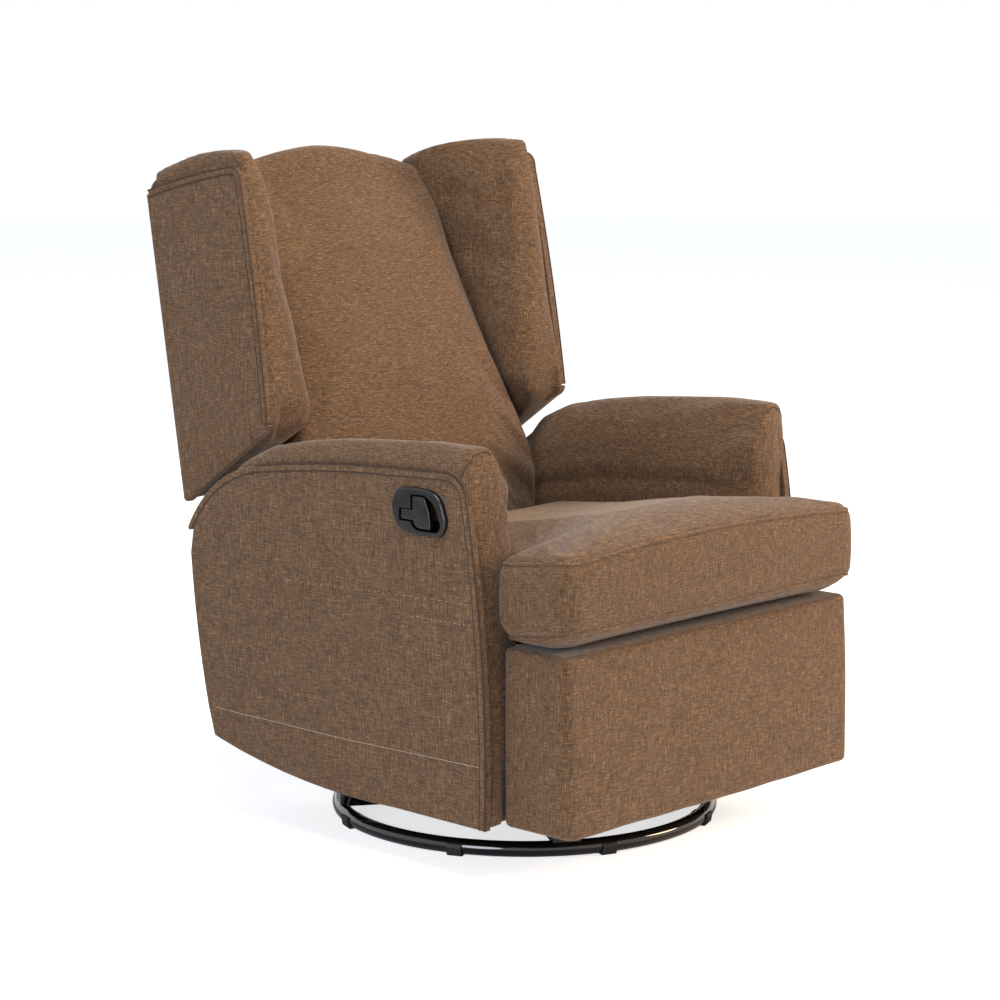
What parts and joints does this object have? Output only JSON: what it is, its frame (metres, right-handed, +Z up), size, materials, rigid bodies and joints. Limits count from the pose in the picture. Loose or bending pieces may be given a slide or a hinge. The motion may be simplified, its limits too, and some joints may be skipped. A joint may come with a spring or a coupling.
{
  "type": "swivel glider recliner",
  "caption": "Upholstered wingback recliner with rolled arms, T-cushion and fold-out footrest, gliding and swivelling on a round ring base.",
  "frame": {"origin": "on the floor, on the swivel axis, under the middle of the ring base", "axes": "+Z up along the swivel axis, the sitter faces -Y, +X towards the sitter's left arm"},
  "size_m": [0.759, 0.9323, 1.0521],
  "materials": {
    "upholstery": "matte",
    "deck_cloth": "matte",
    "webbing": "matte",
    "ring_black": "gloss",
    "glide_black": "matte",
    "handle_black": "satin",
    "zinc": "satin",
    "mechanism_steel": "satin",
    "plywood": "matte"
  },
  "bodies": {
    "base": {"base_ring": "ring_black", "base_crossbars": "ring_black", "base_glides": "glide_black", "swivel_lower_plate": "mechanism_steel", "king_bolt": "zinc"},
    "swivel": {"swivel_upper_plate": "mechanism_steel", "glider_base_frame": "mechanism_steel", "hanger_brackets_left": "mechanism_steel", "hanger_brackets_right": "mechanism_steel", "hanger_pins": "zinc"},
    "front_links": {"glide_link_front_left": "mechanism_steel", "glide_link_front_right": "mechanism_steel"},
    "rear_links": {"glide_link_rear_left": "mechanism_steel", "glide_link_rear_right": "mechanism_steel"},
    "chair": {"carriage_rail_left": "mechanism_steel", "carriage_rail_right": "mechanism_steel", "carriage_tube_front": "mechanism_steel", "carriage_tube_rear": "mechanism_steel", "mechanism_plate_left": "mechanism_steel", "mechanism_plate_right": "mechanism_steel", "mechanism_pins": "zinc", "seat_side_rail_left": "plywood", "seat_side_rail_right": "plywood", "seat_front_rail": "plywood", "seat_rear_rail": "plywood", "seat_springs": "zinc", "seat_deck": "deck_cloth", "seat_cushion": "upholstery", "arm_frame_left": "plywood", "arm_frame_right": "plywood", "arm_pad_left": "upholstery", "arm_pad_right": "upholstery", "arm_panel_left": "upholstery", "arm_panel_right": "upholstery", "rear_apron": "upholstery", "release_bezel": "handle_black"},
    "release": {"release_paddle": "handle_black"},
    "back": {"back_frame": "plywood", "back_bracket_left": "mechanism_steel", "back_bracket_right": "mechanism_steel", "back_webbing": "webbing", "back_cushion": "upholstery", "wing_pad_left": "upholstery", "wing_pad_right": "upholstery", "wing_panel_left": "upholstery", "wing_panel_right": "upholstery", "back_cover": "upholstery"},
    "swing_links": {"swing_link_left": "mechanism_steel", "swing_link_right": "mechanism_steel", "swing_tube": "mechanism_steel"},
    "guide_links": {"guide_link_left": "mechanism_steel", "guide_link_right": "mechanism_steel"},
    "long_links": {"long_link_left": "mechanism_steel", "long_link_right": "mechanism_steel"},
    "tie_links": {"tie_link_left": "mechanism_steel", "tie_link_right": "mechanism_steel"},
    "footrest": {"footrest_bracket_left": "mechanism_steel", "footrest_bracket_right": "mechanism_steel", "footrest_board": "plywood", "footrest_pad": "upholstery"}
  },
  "joints": [
    {"name": "swivel", "type": "hinge", "parent": "base", "child": "swivel", "pos_m": [0, 0, 0.05], "axis": [0, 0, 1], "continuous": true},
    {"name": "glide_front", "type": "hinge", "parent": "swivel", "child": "front_links", "pos_m": [0, -0.13, 0.215], "axis": [1, 0, 0], "range_deg": [-24, 24]},
    {"name": "glide_rear", "type": "hinge", "parent": "swivel", "child": "rear_links", "pos_m": [0, 0.13, 0.215], "axis": [1, 0, 0], "range_deg": [-24.2, 24.2]},
    {"name": "carriage", "type": "hinge", "parent": "front_links", "child": "chair", "pos_m": [0, -0.13, 0.105], "axis": [1, 0, 0], "range_deg": [-24.2, 24.2]},
    {"name": "recline", "type": "hinge", "parent": "chair", "child": "back", "pos_m": [0, 0.33, 0.3], "axis": [-1, 0, 0], "range_deg": [0, 32]},
    {"name": "footrest_swing", "type": "hinge", "parent": "chair", "child": "swing_links", "pos_m": [0, -0.15, 0.292], "axis": [-1, 0, 0], "range_deg": [0, 92.73]},
    {"name": "footrest_guide", "type": "hinge", "parent": "chair", "child": "guide_links", "pos_m": [0, -0.1844, 0.2528], "axis": [-1, 0, 0], "range_deg": [0, 102.9]},
    {"name": "footrest_knee", "type": "hinge", "parent": "swing_links", "child": "long_links", "pos_m": [0, -0.1406, 0.0862], "axis": [-1, 0, 0], "range_deg": [-151.3, 0]},
    {"name": "footrest_tie", "type": "hinge", "parent": "swing_links", "child": "tie_links", "pos_m": [0, -0.144, 0.1337], "axis": [-1, 0, 0], "range_deg": [-151.4, 0]},
    {"name": "footrest_panel", "type": "hinge", "parent": "long_links", "child": "footrest", "pos_m": [0, -0.248, 0.262], "axis": [-1, 0, 0], "range_deg": [0, 146.6]},
    {"name": "release_pull", "type": "hinge", "parent": "chair", "child": "release", "pos_m": [-0.3795, -0.1055, 0.548], "axis": [0, 0, -1], "range_deg": [0, 30], "stiffness_Nm_per_rad": 0.6, "springref_deg": -8.59}
  ],
  "couplings": [
    {"joint": "glide_rear", "follows": "glide_front", "ratio": 1},
    {"joint": "carriage", "follows": "glide_front", "ratio": -1},
    {"joint": "footrest_guide", "follows": "footrest_swing", "ratio": 1.1087},
    {"joint": "footrest_knee", "follows": "footrest_swing", "ratio": -1.6304},
    {"joint": "footrest_tie", "follows": "footrest_swing", "ratio": -1.6316},
    {"joint": "footrest_panel", "follows": "footrest_swing", "ratio": 1.5795}
  ]
}
